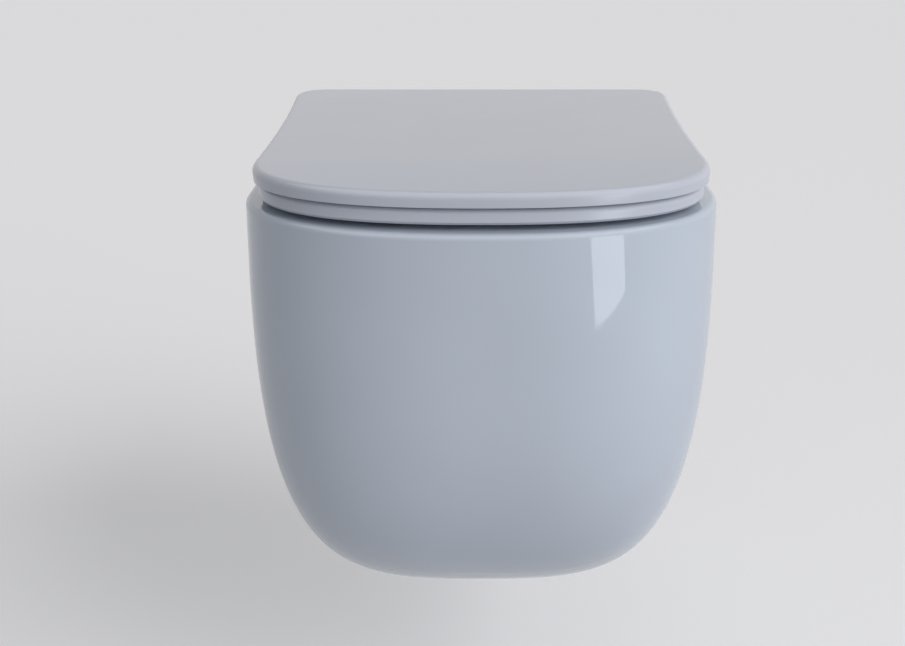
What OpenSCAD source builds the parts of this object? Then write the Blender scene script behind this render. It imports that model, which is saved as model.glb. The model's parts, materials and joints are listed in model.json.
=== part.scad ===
// Wall-hung toilet with a soft-close seat and lid.
// Millimetres. X is across, Z is up, the wall is the plane y = 0 and the bowl's front points along -Y.
// The origin is midway between the two wall studs.

/* [Bowl] */
// Width across the flanks
bowl_w = 360; // [350:2:372]
// How much each flank widens towards the wall
wall_flare = 6; // [3:1:8]
// Wall to the front of the bowl
projection = 532; // [520:2:550]
// Rim down to the underside
bowl_h = 366; // [350:2:380]
// Radius of the soft edge round the rim
rim_r = 5; // [4:1:8]
// Thickness of the outer wall
wall_t = 10; // [8:1:12]
// Thickness of the rim and the rear deck
deck_t = 12; // [10:1:14]
// Width of the bowl's opening
opening_w = 268; // [256:2:276]
// Wall to the rear edge of the opening
opening_rear = 128; // [127:1:134]
// Rim's width at the front
rim_front = 48; // [44:1:52]

/* [Wall connections] */
// Spacing of the two wall studs
stud_spacing = 180; // [178:1:182]
// Hole for a wall stud
stud_hole = 13; // [12.5:0.5:14]
// Rim above the wall studs
rim_z = 80; // [78:1:84]
// Waste outlet below the wall studs
waste_drop = 100; // [98:1:102]
// Outer diameter of the waste spigot
waste_od = 102; // [100:1:104]
// Flush inlet above the wall studs
inlet_rise = 35; // [34:1:36]
// Bore of the flush inlet
inlet_id = 55; // [53:1:56]

/* [Seat and lid] */
// How far the lid stays inside the bowl's flank, each side
lid_side_inset = 9.8; // [8:0.2:12]
// How far the lid stays behind the bowl's front
lid_front_inset = 4.4; // [3:0.2:8]
// How much each side of the lid widens towards the hinge
lid_flare = 8.4; // [6:0.2:10]
// Thickness of the lid's edge
lid_t = 14.6; // [13.6:0.2:15.4]
// Radius of the lid's upper edge
lid_edge_r = 5.5; // [4:0.5:7]
// How much the lid's top falls towards the front
lid_fall = 3.6; // [2:0.2:4.4]
// Radius of the lid's rear corners in plan
lid_corner_r = 30; // [26:1:34]
// Thickness of the lid's plate inside its edge
lid_plate_t = 6; // [5:0.5:7]
// Thickness of the seat ring
ring_t = 11; // [10:0.2:11.2]
// How far the seat ring stays inside the lid
ring_inset = 4; // [3:0.5:6]
// Width of the seat's opening
seat_open_w = 224; // [210:2:236]
// Gap between the rim and the seat ring
rim_gap = 4.7; // [4.5:0.1:5.2]
// Gap between the seat ring and the lid
lid_gap = 1.7; // [1.5:0.1:2]

/* [Hinges] */
// Spacing of the two seat holes
hinge_spacing = 155; // [152:1:158]
// Hinge axis in front of the wall
axis_s = 101; // [99:1:102]
// Seat stud in front of the hinge axis
stud_ahead = 9.5; // [9.5:0.1:9.8]
// Diameter of the hinge pins
pin_d = 7; // [6:0.5:7]
// Diameter of the upright part of the seat studs
peg_d = 8; // [7:0.5:8]
// Travel of a release button
button_travel = 2; // [1.5:0.1:2.2]

/* [Hidden] */
$fn = 96;
fit = 0.05;
// How far a cut runs past the face that it opens, and how far the big cutting blocks reach past the bowl
past = 1;
margin = 20;
room_past = 5;
china = "#e9ecef";
duroplast = "#e4e7ea";
nylon = "#d9dcde";
steel = "#b9bdc1";
rubber = "#8d9194";
damper_grey = "#5c6166";
brass = "#b8954f";

// The bowl's outer skin
skin_half = bowl_w / 2;
side_power = 2.84;
front_power = 3.94;
plan_power_rim = 2.3;
plan_power_base = 3.2;
widest_ratio = 0.74;
tuck = 86;
edge_pts = 3;
flank_pts = 6;
nose_pts = 14;
skin_rows = 13;

// The inner bowl
opening_half = opening_w / 2;
opening_front = projection - rim_front;
opening_mid = 300;
inner_edge_r = 8;
sump_depth = 316;
sump_floor_z = rim_z - sump_depth;
sump_half = 38;
sump_rear = 205;
sump_front = 292;
sump_mid = 250;
sump_r = 14;
bowl_wall = 11;
inner_rows = 11;
side_curve = 1.4;
side_round = 0.95;
front_curve = 1.25;
front_round = 1.05;
inner_rear_power = 2.9;
inner_front_power = 2.25;
sump_share = 0.97;

// The trapway and the water connections
deck_z = rim_z - deck_t;
trap_r = 36;
trap_wall = 9;
trap_sill = 1;
trap_entry_z = sump_floor_z + trap_sill + trap_r;
trap_bend = 60;
trap_entry_s = 175;
trap_reach = 60;
spigot_wall = 7;
spigot_bore = waste_od / 2 - spigot_wall;
spigot_l = 42;
spigot_step = 2;
neck_l = 14;
socket_past = 8;
socket_l = spigot_l + socket_past;
trap_past = 2;
trap_end = spigot_l + trap_past;
inlet_wall = 8.5;
inlet_l = 100;
chamber_half = 54;
chamber_wall = 8;
chamber_rear = 94;
chamber_front = 115;
chamber_back_t = 6;
chamber_below = 21;
chamber_above = 25;
flush_back = 4;
flush_front = opening_rear - flush_back;
port_half = 20;
port_ahead = 14;
side_port_in = 34;
side_port_out = 52;
side_port_ahead = 22;
port_below = 12;
port_above = 2;
stud_x = stud_spacing / 2;

// The wall fixings
block_w = 38;
block_h = 34;
block_l = 46;
block_play = 1;
channel_w = block_w + block_play;
channel_z0 = -block_h / 2 - block_play;
channel_z1 = block_h / 2;
boss_wall = 9;
boss_l = 70;
web_lap = 4;
web_t = 10;
web_rear = boss_l - web_lap;
web_front = web_rear + web_t;
web_below = 14;
rib_t = 10;
clamp_s = 24;
clamp_tunnel_r = 13;
tunnel_wall = 7;
tunnel_bite = 2;
clamp_x = stud_x + channel_w / 2 + boss_wall;
screw_r = 4;
screw_play = 0.5;
screw_in = 8;
head_r = 8;
head_t = 8;
socket_r = 3.4;
socket_t = 4;
washer_r = 12;
washer_t = 2.5;
nut_af = 19;
nut_t = 10;
thread_r = 6;
cap_flare_share = 0.88;
cap_proud = 0.3;
cap_face_x = skin_half + wall_flare * cap_flare_share + cap_proud;
cap_l = 12;
cap_wall = 2;
cap_face_t = 2.5;

// The seat's heights above the rim, and its outlines
ring_under = rim_z + rim_gap;
ring_top = ring_under + ring_t;
lid_under = ring_top + lid_gap;
lid_top = lid_under + lid_t;
barrel_r = 15;
axis_z = lid_top - barrel_r;
axis_y = -axis_s;
lid_rear = axis_s - barrel_r;
lid_half = skin_half - lid_side_inset;
lid_front = projection - lid_front_inset;
waist_ahead = 251;
widest_behind = 118;
lid_waist_s = lid_rear + waist_ahead;
lid_widest_s = lid_front - widest_behind;
lid_power = 2.37;
lid_edge_pts = 3;
lid_corner_pts = 5;
lid_side_pts = 6;
ring_ahead = 22;
ring_rear = axis_s + ring_ahead;
ring_corner_r = 18;
ring_front_w = 60;
seat_open_ahead = 84;
opening_s0 = axis_s + seat_open_ahead;
seat_rear_power = 2.5;
seat_front_power = 2.25;
seat_mid_share = 0.52;
ring_outer_r = 4.5;
ring_inner_r = 5.5;
under_in = 2;
arm_ahead = 7;
arm_rear = axis_s + arm_ahead;
arm_bite = 12;
arm_low = 1;
pad_ahead = 30;
pad_r = 7;
pad_plug_r = 3;
pad_plug_l = 4;
seat_pad_behind = 170;
seat_pad_in = 25;
lid_pad_r = 6;
lid_pad_behind = 150;
lid_pad_in = 30;
edge_flat = 0.4;
rear_round_share = 1.3;
well_in = 11;
well_draft = 3;
well_play = 2;
under_edge_in = 0.5;
under_edge_z = 0.2;

// The hinges
hinge_x = hinge_spacing / 2;
bracket_w = 26;
bracket_r = 10.5;
lug_gap = 0.5;
lug_w = 26;
seat_lug_r = 11;
lid_lug_r = 13;
seat_lug_x = hinge_x - bracket_w / 2 - lug_gap - lug_w;
lid_lug_x = hinge_x + bracket_w / 2 + lug_gap;
stud_y = axis_y - stud_ahead;
gasket_t = 1;
plate_t = 2.5;
plate_r = 13.5;
bracket_foot = rim_z + gasket_t + plate_t;
peg_l = 14;
peg_top = rim_z + peg_l;
peg_r = peg_d / 2;
pin_r = pin_d / 2;
cartridge_r = 7;
lug_end = 3;
pin_play = 0.5;
bracket_room = 5;
foot_under_axis = 1;
peg_chamfer = 1;
plug_l = 22;
plug_nut_l = 8;
plug_nut_play = 0.6;
plug_screw_r = 3;
plug_screw_l = 34;
gasket_in = 0.5;
slider_rise = 5.25;
slider_z = rim_z + slider_rise;
slider_t = 3.5;
slider_w = 14;
head_rest = 1.2;
head_out = button_travel + head_rest;
foot_rear = -9;
foot_front = 19.5;
window_w = 8.6;
window_rear = -7;
post_rear = 1;
post_front = 4;
post_play = 0.8;
shoe_t = 2;
seat_hole_r = 7;

function lerp(a, b, t) = a + (b - a) * t;
function flat(list) = [for (part = list) each part];

// Half outlines run from the rear middle round the right side to the front middle, as [x, s],
// where s is the distance from the wall.
function run(p, i) = p[min(i + 1, len(p) - 1)] - p[max(i - 1, 0)];
function outward(p, i) =
    i == 0 ? [0, -1] : i == len(p) - 1 ? [0, 1] : [run(p, i)[1], -run(p, i)[0]] / norm(run(p, i));
function inset(p, d) = [for (i = [0:len(p) - 1])
    let (q = p[i] - (is_list(d) ? d[i] : d) * outward(p, i)) [max(0, q[0]), q[1]]];
function nose(half, s0, length, power, count) = [for (i = [1:count])
    let (q = 90 * i / count) [half * pow(cos(q), 2 / power), s0 + length * pow(sin(q), 2 / power)]];

// A loop of 3-D points from a half outline: right side forwards, then left side back
function ring3(p, z) = concat(
    [for (i = [0:len(p) - 1]) [p[i][0], -p[i][1], is_list(z) ? z[i] : z]],
    [for (i = [len(p) - 2:-1:1]) [-p[i][0], -p[i][1], is_list(z) ? z[i] : z]]);

// Triangles across a loop that is mirrored left to right, seen clockwise from above, with points from n0 on.
// Its straight rear edge is fanned from the first point ahead of it.
function across(loop, n0) =
    let (m = len(loop), k = m / 2 + 1,
        rear = len([for (i = [0:k - 1]) if (loop[0][1] - loop[i][1] < 0.01) i]) - 1,
        f = rear + 1,
        edge = concat([for (i = [rear:-1:1]) m - i], [for (i = [0:rear]) i]),
        faces = concat(
            [for (i = [0:1:len(edge) - 2]) [edge[i], edge[i + 1], f]],
            [[f, m - f, edge[0]]],
            flat([for (i = [f:1:k - 2]) i == k - 2 ? [[i, i + 1, m - i]]
                : [[i, i + 1, m - i - 1], [i, m - i - 1, m - i]]])))
    [for (face = faces) [for (n = face) n + n0]];

// A closed solid from a stack of loops; the first cap faces down and the last one faces up
module stack(rings) {
    m = len(rings[0]);
    count = len(rings);
    polyhedron(flat(rings), concat(
        flat([for (j = [0:count - 2]) for (i = [0:m - 1]) let (n = (i + 1) % m)
            [[j * m + i, j * m + n, (j + 1) * m + n], [j * m + i, (j + 1) * m + n, (j + 1) * m + i]]]),
        [for (face = across(rings[0], 0)) [face[2], face[1], face[0]]],
        across(rings[count - 1], (count - 1) * m)));
}

// A closed solid round a ring: one section per station
module hoop(sections) {
    n = len(sections);
    c = len(sections[0]);
    polyhedron(flat(sections), [for (i = [0:n - 1]) for (j = [0:c - 1])
        let (next_i = (i + 1) % n, next_j = (j + 1) % c,
            a = i * c + j, b = i * c + next_j, d = next_i * c + j, e = next_i * c + next_j)
        each [[a, e, b], [a, d, e]]]);
}

// The same shape on the left (-1) and on the right (+1)
module pair() {
    for (side = [0, 1]) mirror([side, 0, 0]) children();
}

module along_x(r, x0, x1) {
    translate([x0, 0, 0]) rotate([0, 90, 0]) cylinder(r = r, h = x1 - x0);
}

module along_y(r, s0, s1) {
    translate([0, -s0, 0]) rotate([90, 0, 0]) cylinder(r = r, h = s1 - s0);
}

// Share of full reach and of full width left at a share t of the depth
function reach(t) = pow(max(0, 1 - pow(t, front_power)), 1 / front_power);
function girth(t) = pow(max(0, 1 - pow(t, side_power)), 1 / side_power);

// One level of the bowl's skin, moved in by d, with its straight edge at the distance rear from the wall
function skin_level(t, d, rear) =
    let (half = skin_half * girth(t), far = projection * reach(t), s0 = widest_ratio * far,
        power = lerp(plan_power_rim, plan_power_base, t),
        side = [for (i = [0:flank_pts]) let (s = s0 * i / flank_pts)
            [half + wall_flare * girth(t) * pow(1 - i / flank_pts, 2), s]],
        full = concat(side, nose(half, s0, far - s0, power, nose_pts)),
        moved = [for (i = [0:len(full) - 1]) i == 0 ? [full[0][0] - d, rear]
            : let (q = full[i] - d * outward(full, i)) [max(0, q[0]), q[1]]])
    concat([for (i = [0:edge_pts - 1]) [moved[0][0] * i / edge_pts, rear]], moved);

// The skin's depth shares, spaced evenly round its curve
function skin_t(i) = pow(sin(tuck * i / skin_rows), 2 / front_power);

// One level of the inner bowl at a share u of its depth, moved out by d
function inner_level(u, d) =
    let (side = pow(max(0, 1 - pow(u, side_curve)), side_round),
        ahead = pow(max(0, 1 - pow(u, front_curve)), front_round),
        half = sump_half + (opening_half - sump_half) * side + d,
        rear = sump_rear - (sump_rear - opening_rear) * side - d,
        far = sump_front + (opening_front - sump_front) * ahead + d,
        mid = lerp(opening_mid, sump_mid, u), count = edge_pts + flank_pts)
    concat([for (i = [0:count]) let (q = 90 - 90 * i / count)
            [half * pow(cos(q), 2 / inner_rear_power),
                mid - (mid - rear) * pow(sin(q), 2 / inner_rear_power)]],
        nose(half, mid, far - mid, inner_front_power, nose_pts));

// The skin's levels, from the underside up to where the soft edge of the rim starts
function skin_rings() =
    [for (i = [skin_rows:-1:0]) let (t = skin_t(i))
        ring3(skin_level(t, 0, 0), rim_z - rim_r - (bowl_h - rim_r) * t)];

// The outer skin, the rim and the inner bowl as one closed cup
module cup() {
    inner_depth = rim_z - inner_edge_r - sump_floor_z;
    stack(concat(
        skin_rings(),
        [for (a = [22.5:22.5:90])
            ring3(skin_level(0, rim_r * (1 - cos(a)), 0), rim_z - rim_r * (1 - sin(a)))],
        [for (a = [0:30:60])
            ring3(inner_level(0, inner_edge_r * (1 - sin(a))), rim_z - inner_edge_r * (1 - cos(a)))],
        [for (i = [0:inner_rows]) let (u = sump_share * i / inner_rows)
            ring3(inner_level(u, 0), rim_z - inner_edge_r - inner_depth * u)],
        [for (a = [45, 90]) ring3(inner_level(sump_share, -sump_r * (1 - cos(a))),
            sump_floor_z + inner_depth * (1 - sump_share) * (1 - sin(a)))]));
}

// The room inside the outer skin, open to the wall and upwards
module skin_room() {
    depth = bowl_h - wall_t - deck_t;
    stack(concat(
        [for (i = [skin_rows:-1:0]) let (t = skin_t(i))
            ring3(skin_level(t, wall_t, -room_past), deck_z - depth * t)],
        [ring3(skin_level(0, wall_t, -room_past), rim_z + room_past)]));
}

// The inner bowl with its wall, as a full solid up to the deck's underside
module bowl_core() {
    depth = deck_z - sump_floor_z + bowl_wall;
    stack([for (i = [inner_rows:-1:0]) let (u = i / inner_rows)
        ring3(inner_level(u, bowl_wall), deck_z - depth * u)]);
}

module box(x0, x1, s0, s1, z0, z1) {
    translate([x0, -s1, z0]) cube([x1 - x0, s1 - s0, z1 - z0]);
}

// Everything above (from z0 = deck_z) or below (up to z1 = deck_z) the deck's underside
module zone(z0, z1) {
    box(-skin_half - margin, skin_half + margin, -margin, projection + margin, z0, z1);
}

// A pipe run of the trapway at radius r: from the sump, up over the weir and on to the distance end_s
module trap_path(r, end_s) {
    low_z = trap_entry_z;
    weir_z = trap_entry_z + 2 * trap_bend;
    translate([0, 0, low_z]) along_y(r, trap_entry_s, trap_entry_s + trap_reach);
    translate([0, -trap_entry_s, low_z + trap_bend]) rotate([90, 0, 90])
        rotate_extrude(angle = 90, start = 270) translate([trap_bend, 0]) circle(r = r);
    translate([0, -trap_entry_s + 2 * trap_bend, low_z + trap_bend]) rotate([90, 0, 90])
        rotate_extrude(angle = 90, start = 90) translate([trap_bend, 0]) circle(r = r);
    translate([0, 0, weir_z]) along_y(r, end_s, trap_entry_s - 2 * trap_bend);
}

// The outer wall of flush inlet and chamber, the way of the water, and the three flush openings
module flush_body() {
    translate([0, 0, inlet_rise]) along_y(inlet_id / 2 + inlet_wall, 0, flush_front);
    box(-chamber_half - chamber_wall, chamber_half + chamber_wall, chamber_rear - chamber_back_t, flush_front,
        inlet_rise - chamber_below - chamber_wall, deck_z);
}

module flush_way() {
    port_z0 = inlet_rise - port_below;
    port_z1 = inlet_rise + port_above;
    translate([0, 0, inlet_rise]) along_y(inlet_id / 2, -past, inlet_l);
    box(-chamber_half, chamber_half, chamber_rear, chamber_front,
        inlet_rise - chamber_below, inlet_rise + chamber_above);
    box(-port_half, port_half, chamber_front - past, opening_rear + port_ahead, port_z0, port_z1);
    pair() box(side_port_in, side_port_out, chamber_front - past, opening_rear + side_port_ahead,
        port_z0, port_z1);
}

// The ceramic is cast in five parts that are stuck together wet and fired as one.
// The outer body: front, flanks and underside, below the deck, with the side holes to the clamp screws.
// Where the bowl is too shallow for both, it gives way to the inner bowl.
module ceramic_outer_body() {
    color(china) difference() {
        stack(skin_rings());
        skin_room();
        bowl_core();
        zone(deck_z, rim_z + margin);
        pair() translate([0, -clamp_s, 0]) along_x(clamp_tunnel_r, clamp_x, skin_half + margin);
    }
}

// The inner bowl: rim, deck, bowl and sump, with the seat holes
module ceramic_inner_bowl() {
    color(china) difference() {
        cup();
        difference() {
            zone(rim_z - bowl_h - margin, deck_z);
            bowl_core();
        }
        trap_path(trap_r, socket_l - past);
        flush_way();
        pair() translate([hinge_x, stud_y, deck_z - past]) cylinder(r = seat_hole_r, h = deck_t + 2 * past);
    }
}

// The trapway with its weir and the waste spigot
module ceramic_trapway() {
    color(china) difference() {
        union() {
            trap_path(trap_r + trap_wall, trap_end);
            translate([0, 0, -waste_drop]) along_y(waste_od / 2, 0, spigot_l);
            translate([0, 0, -waste_drop])
                along_y(waste_od / 2 - spigot_step, spigot_l - past, spigot_l + neck_l);
        }
        trap_path(trap_r, socket_l - past);
        translate([0, 0, -waste_drop]) along_y(spigot_bore, -past, socket_l);
        bowl_core();
    }
}

// The flush inlet and the chamber that shares the water out
module ceramic_flush_box() {
    color(china) difference() {
        flush_body();
        flush_way();
        bowl_core();
        zone(deck_z, rim_z + margin);
    }
}

// The upright web behind the bowl, with the channels for the fixing blocks and their side tunnels
module ceramic_rear_web() {
    color(china) difference() {
        intersection() {
            union() {
                box(-skin_half, skin_half, web_rear, web_front, channel_z0 - web_below, deck_z);
                pair() {
                    box(stud_x - channel_w / 2 - boss_wall, clamp_x, 0, boss_l,
                        channel_z0 - boss_wall, channel_z1 + boss_wall);
                    box(stud_x - rib_t / 2, stud_x + rib_t / 2, 0, boss_l, channel_z1, deck_z);
                    translate([0, -clamp_s, 0])
                        along_x(clamp_tunnel_r + tunnel_wall, clamp_x - tunnel_bite, skin_half);
                }
            }
            skin_room();
        }
        pair() {
            box(stud_x - channel_w / 2, stud_x + channel_w / 2, -past, web_front + past,
                channel_z0, channel_z1);
            translate([0, -clamp_s, 0]) along_x(screw_r + screw_play, stud_x, clamp_x + past);
            translate([0, -clamp_s, 0]) along_x(clamp_tunnel_r, clamp_x, skin_half + margin);
        }
        translate([0, 0, inlet_rise]) along_y(inlet_id / 2 + inlet_wall, -past, opening_rear);
    }
}

// A block on the wall stud, inside the ceramic's channel, with a cross hole for its clamp screw
module fixing_block() {
    color(steel) difference() {
        box(stud_x - block_w / 2, stud_x + block_w / 2, 0, block_l, -block_h / 2, block_h / 2);
        translate([stud_x, 0, 0]) along_y(stud_hole / 2, -past, block_l + past);
        translate([0, -clamp_s, 0]) along_x(screw_r, stud_x + screw_in, stud_x + block_w / 2 + past);
    }
}

module fixing_block_left() {
    mirror([1, 0, 0]) fixing_block();
}

module fixing_block_right() {
    fixing_block();
}

module stud_washers() {
    color(steel) pair() translate([stud_x, 0, 0]) difference() {
        along_y(washer_r, block_l, block_l + washer_t);
        along_y(stud_hole / 2, block_l - past, block_l + washer_t + past);
    }
}

module stud_nuts() {
    color(steel) pair() translate([stud_x, -block_l - washer_t, 0]) rotate([90, 0, 0]) difference() {
        cylinder(r = nut_af / 2 / cos(30), h = nut_t, $fn = 6);
        translate([0, 0, -past]) cylinder(r = thread_r, h = nut_t + 2 * past);
    }
}

// A clamp screw with a socket head, from the side tunnel into the fixing block
module clamp_screws() {
    color(steel) pair() translate([0, -clamp_s, 0]) difference() {
        union() {
            along_x(screw_r, stud_x + screw_in + screw_play, clamp_x + past);
            along_x(head_r, clamp_x, clamp_x + head_t);
        }
        translate([clamp_x + head_t - socket_t, 0, 0]) rotate([0, 90, 0])
            cylinder(r = socket_r, h = socket_t + past, $fn = 6);
    }
}

// A push-in cap that closes the side tunnel flush with the flank
module side_cap() {
    color(china) translate([0, -clamp_s, 0]) difference() {
        along_x(clamp_tunnel_r, cap_face_x - cap_l, cap_face_x);
        along_x(clamp_tunnel_r - cap_wall, cap_face_x - cap_l - past, cap_face_x - cap_face_t);
    }
}

module side_cap_left() {
    mirror([1, 0, 0]) side_cap();
}

module side_cap_right() {
    side_cap();
}

module disc(r, bore, z0, z1) {
    translate([hinge_x, stud_y, z0]) difference() {
        cylinder(r = r, h = z1 - z0);
        translate([0, 0, -past]) cylinder(r = bore, h = z1 - z0 + 2 * past);
    }
}

module hinge_gaskets() {
    color(rubber) pair() disc(plate_r - gasket_in, peg_r, rim_z, rim_z + gasket_t);
}

module hinge_plates() {
    color(steel) pair() disc(plate_r, peg_r, rim_z + gasket_t, bracket_foot);
}

// Upright peg for the bracket, with a screw end down into the plug
module hinge_studs() {
    color(steel) pair() translate([hinge_x, stud_y, 0]) {
        translate([0, 0, rim_z]) cylinder(r = peg_r, h = peg_top - rim_z - peg_chamfer);
        translate([0, 0, peg_top - peg_chamfer])
            cylinder(r1 = peg_r, r2 = peg_r - peg_chamfer, h = peg_chamfer);
        translate([0, 0, rim_z - plug_screw_l]) cylinder(r = plug_screw_r, h = plug_screw_l + past);
    }
}

module fixing_plugs() {
    color(nylon) pair() disc(seat_hole_r, plug_screw_r, rim_z - plug_l, rim_z);
}

module plug_nuts() {
    color(brass) pair()
        disc(seat_hole_r - plug_nut_play, plug_screw_r, rim_z - plug_l - plug_nut_l, rim_z - plug_l);
}

// Side view of a bracket: barrel round the axis and foot over the stud
module bracket_side() {
    circle(r = bracket_r);
    translate([-foot_front, bracket_foot - axis_z])
        square([foot_front - foot_rear, axis_z - foot_under_axis - bracket_foot]);
}

// A bracket that drops over its peg; the button slides through its foot
module hinge_bracket() {
    color(steel) difference() {
        translate([hinge_x - bracket_w / 2, axis_y, axis_z]) rotate([90, 0, 90])
            linear_extrude(height = bracket_w) bracket_side();
        translate([0, axis_y, axis_z]) along_x(pin_r, seat_lug_x, lid_lug_x + lug_w);
        translate([hinge_x, stud_y, rim_z]) cylinder(r = peg_r + fit, h = peg_top - rim_z + 2 * fit);
        difference() {
            slider_box(slider_w / 2 + fit, foot_rear - past, foot_front + past,
                slider_z - fit, slider_z + slider_t + fit);
            slider_box(window_w / 2 - post_play, post_rear, post_front, rim_z, lid_top);
        }
    }
}

// A box in the bracket's foot: half width, and distances ahead of the hinge axis
module slider_box(half, ahead0, ahead1, z0, z1) {
    translate([hinge_x - half, axis_y - ahead1, z0]) cube([2 * half, ahead1 - ahead0, z1 - z0]);
}

module hinge_bracket_left() {
    mirror([1, 0, 0]) hinge_bracket();
}

module hinge_bracket_right() {
    hinge_bracket();
}

module hinge_pin() {
    color(steel) translate([0, axis_y, axis_z])
        along_x(pin_r, seat_lug_x + lug_end + pin_play, lid_lug_x + lug_w - lug_end - pin_play);
}

module hinge_pin_left() {
    mirror([1, 0, 0]) hinge_pin();
}

module hinge_pin_right() {
    hinge_pin();
}

// A flat slide with a push face at the rear and a shoe that grips the front of the peg
module release_button() {
    shoe = stud_ahead + peg_r;
    color(damper_grey) difference() {
        slider_box(slider_w / 2, foot_rear - head_out, shoe + shoe_t, slider_z, slider_z + slider_t);
        slider_box(window_w / 2, window_rear, stud_ahead, slider_z - past, slider_z + slider_t + past);
        translate([hinge_x, stud_y, slider_z - past]) cylinder(r = peg_r + fit, h = slider_t + 2 * past);
    }
}

module release_button_left() {
    mirror([1, 0, 0]) release_button();
}

module release_button_right() {
    release_button();
}

// A compression spring between the button's push face and the bracket's post
module button_spring() {
    turns = 4;
    coil_r = 1.45;
    wire_r = 0.25;
    steps = 12;
    sides = 8;
    count = turns * steps;
    s0 = window_rear + wire_r;
    s1 = post_rear - wire_r;
    color(steel) translate([hinge_x, axis_y, slider_z + slider_t / 2]) {
        rings = [for (i = [0:count]) let (q = 360 * i / steps, s = -lerp(s0, s1, i / count))
            [for (j = [0:sides - 1]) let (w = 360 * j / sides, r = coil_r + wire_r * cos(w))
                [r * cos(q), s + wire_r * sin(w), r * sin(q)]]];
        polyhedron(flat(rings), concat(
            flat([for (i = [0:count - 1]) for (j = [0:sides - 1])
                let (n = (j + 1) % sides, a = i * sides, b = (i + 1) * sides)
                [[a + j, b + n, a + n], [a + j, b + j, b + n]]]),
            [[for (j = [0:sides - 1]) j]], [[for (j = [sides - 1:-1:0]) count * sides + j]]));
    }
}

module button_spring_left() {
    mirror([1, 0, 0]) button_spring();
}

module button_spring_right() {
    button_spring();
}

// Lid outline: half width at the distance s from the wall
function lid_side(s) = lid_half + lid_flare * pow((lid_waist_s - s) / (lid_waist_s - lid_rear), 2);

// Half outline of the lid's family: rear edge, round corner, waisted side, round front
function cover_outline(rear, corner) = concat(
    [for (i = [0:lid_edge_pts - 1]) [(lid_side(rear) - corner) * i / lid_edge_pts, rear]],
    [for (i = [0:lid_corner_pts]) let (q = 90 * i / lid_corner_pts, s = rear + corner * (1 - cos(q)))
        [lid_side(s) - corner * (1 - sin(q)), s]],
    [for (i = [1:lid_side_pts]) let (s = lerp(rear + corner, lid_widest_s, i / lid_side_pts))
        [lid_side(s), s]],
    [for (i = [1:nose_pts]) let (q = 90 * i / nose_pts,
            s = lid_widest_s + (lid_front - lid_widest_s) * pow(sin(q), 2 / lid_power))
        [lid_side(s) * pow(cos(q), 2 / lid_power), s]]);

// The upper edge's radius: a full round at the hinge, the lid's own radius from the corners on
function edge_r(s) =
    lerp(lid_t - edge_flat, lid_edge_r, min(1, max(0, (s - lid_rear) / (rear_round_share * lid_corner_r))));

// The lid's top, which falls towards the front
function lid_top_at(s) = lid_top - lid_fall * (s - lid_rear) / (lid_front - lid_rear);
function plate_at(list) = [for (q = list) lid_top_at(q[1]) - lid_plate_t];

module lid_body() {
    p = cover_outline(lid_rear, lid_corner_r);
    top = [for (q = p) lid_top_at(q[1])];
    r = [for (q = p) edge_r(q[1])];
    // The recess stops ahead of the hinge
    well_rear = ring_rear + well_play;
    well = [for (q = inset(p, well_in)) [q[0], max(q[1], well_rear)]];
    well_top = [for (q = inset(p, well_in + well_draft)) [q[0], max(q[1], well_rear + well_draft)]];
    stack(concat(
        [ring3(well_top, plate_at(well_top)), ring3(well, lid_under)],
        [ring3(inset(p, under_in), lid_under), ring3(inset(p, under_edge_in), lid_under + under_edge_z)],
        [for (a = [0:15:90]) ring3(inset(p, r * (1 - cos(a))), top - r * (1 - sin(a)))]));
}

// Round barrel of a lid or seat hinge, about the hinge axis
module barrel(r, x0, length) {
    translate([0, axis_y, axis_z]) along_x(r, x0, x0 + length);
}

module lid() {
    color(duroplast) difference() {
        union() {
            difference() {
                lid_body();
                // Room for the seat's lugs and the brackets
                pair() barrel(seat_lug_r + lug_gap, seat_lug_x - lug_gap, lid_lug_x - seat_lug_x + lug_gap);
                pair() box(hinge_x - bracket_w / 2 - past, lid_lug_x, lid_rear - past, axis_s - bracket_room,
                    axis_z - bracket_room, lid_top + past);
            }
            pair() barrel(lid_lug_r, lid_lug_x, lug_w);
        }
        pair() barrel(cartridge_r, lid_lug_x - past, lug_w - lug_end + past);
    }
}

module sleeve(x0, length) {
    difference() {
        barrel(cartridge_r, x0, length);
        barrel(pin_r + fit, x0 - past, length + 2 * past);
    }
}

module lid_damper() {
    color(damper_grey) mirror([1, 0, 0]) sleeve(lid_lug_x, lug_w - lug_end);
}

module lid_bush() {
    color(nylon) sleeve(lid_lug_x, lug_w - lug_end);
}

// Soft pads under the lid's edge that land on the ring
module lid_buffers() {
    color(rubber) pair() for (s = [lid_widest_s - lid_pad_behind, lid_widest_s + pad_ahead])
        translate([lid_half - lid_pad_in, -s, ring_top])
            cylinder(r = lid_pad_r, h = lid_top_at(s + lid_pad_r) - lid_plate_t - ring_top);
}

// The seat ring: outer and inner outlines with the same number of points
function ring_outer() = inset(cover_outline(ring_rear - ring_inset, ring_corner_r), ring_inset);
function ring_inner() =
    let (half = seat_open_w / 2, far = lid_front - ring_inset - ring_front_w,
        mid = lerp(opening_s0, far, seat_mid_share), count = lid_edge_pts + lid_corner_pts + lid_side_pts)
    concat([for (i = [0:count]) let (q = 90 - 90 * i / count)
            [half * pow(cos(q), 2 / seat_rear_power),
                mid - (mid - opening_s0) * pow(sin(q), 2 / seat_rear_power)]],
        nose(half, mid, far - mid, seat_front_power, nose_pts));

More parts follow.
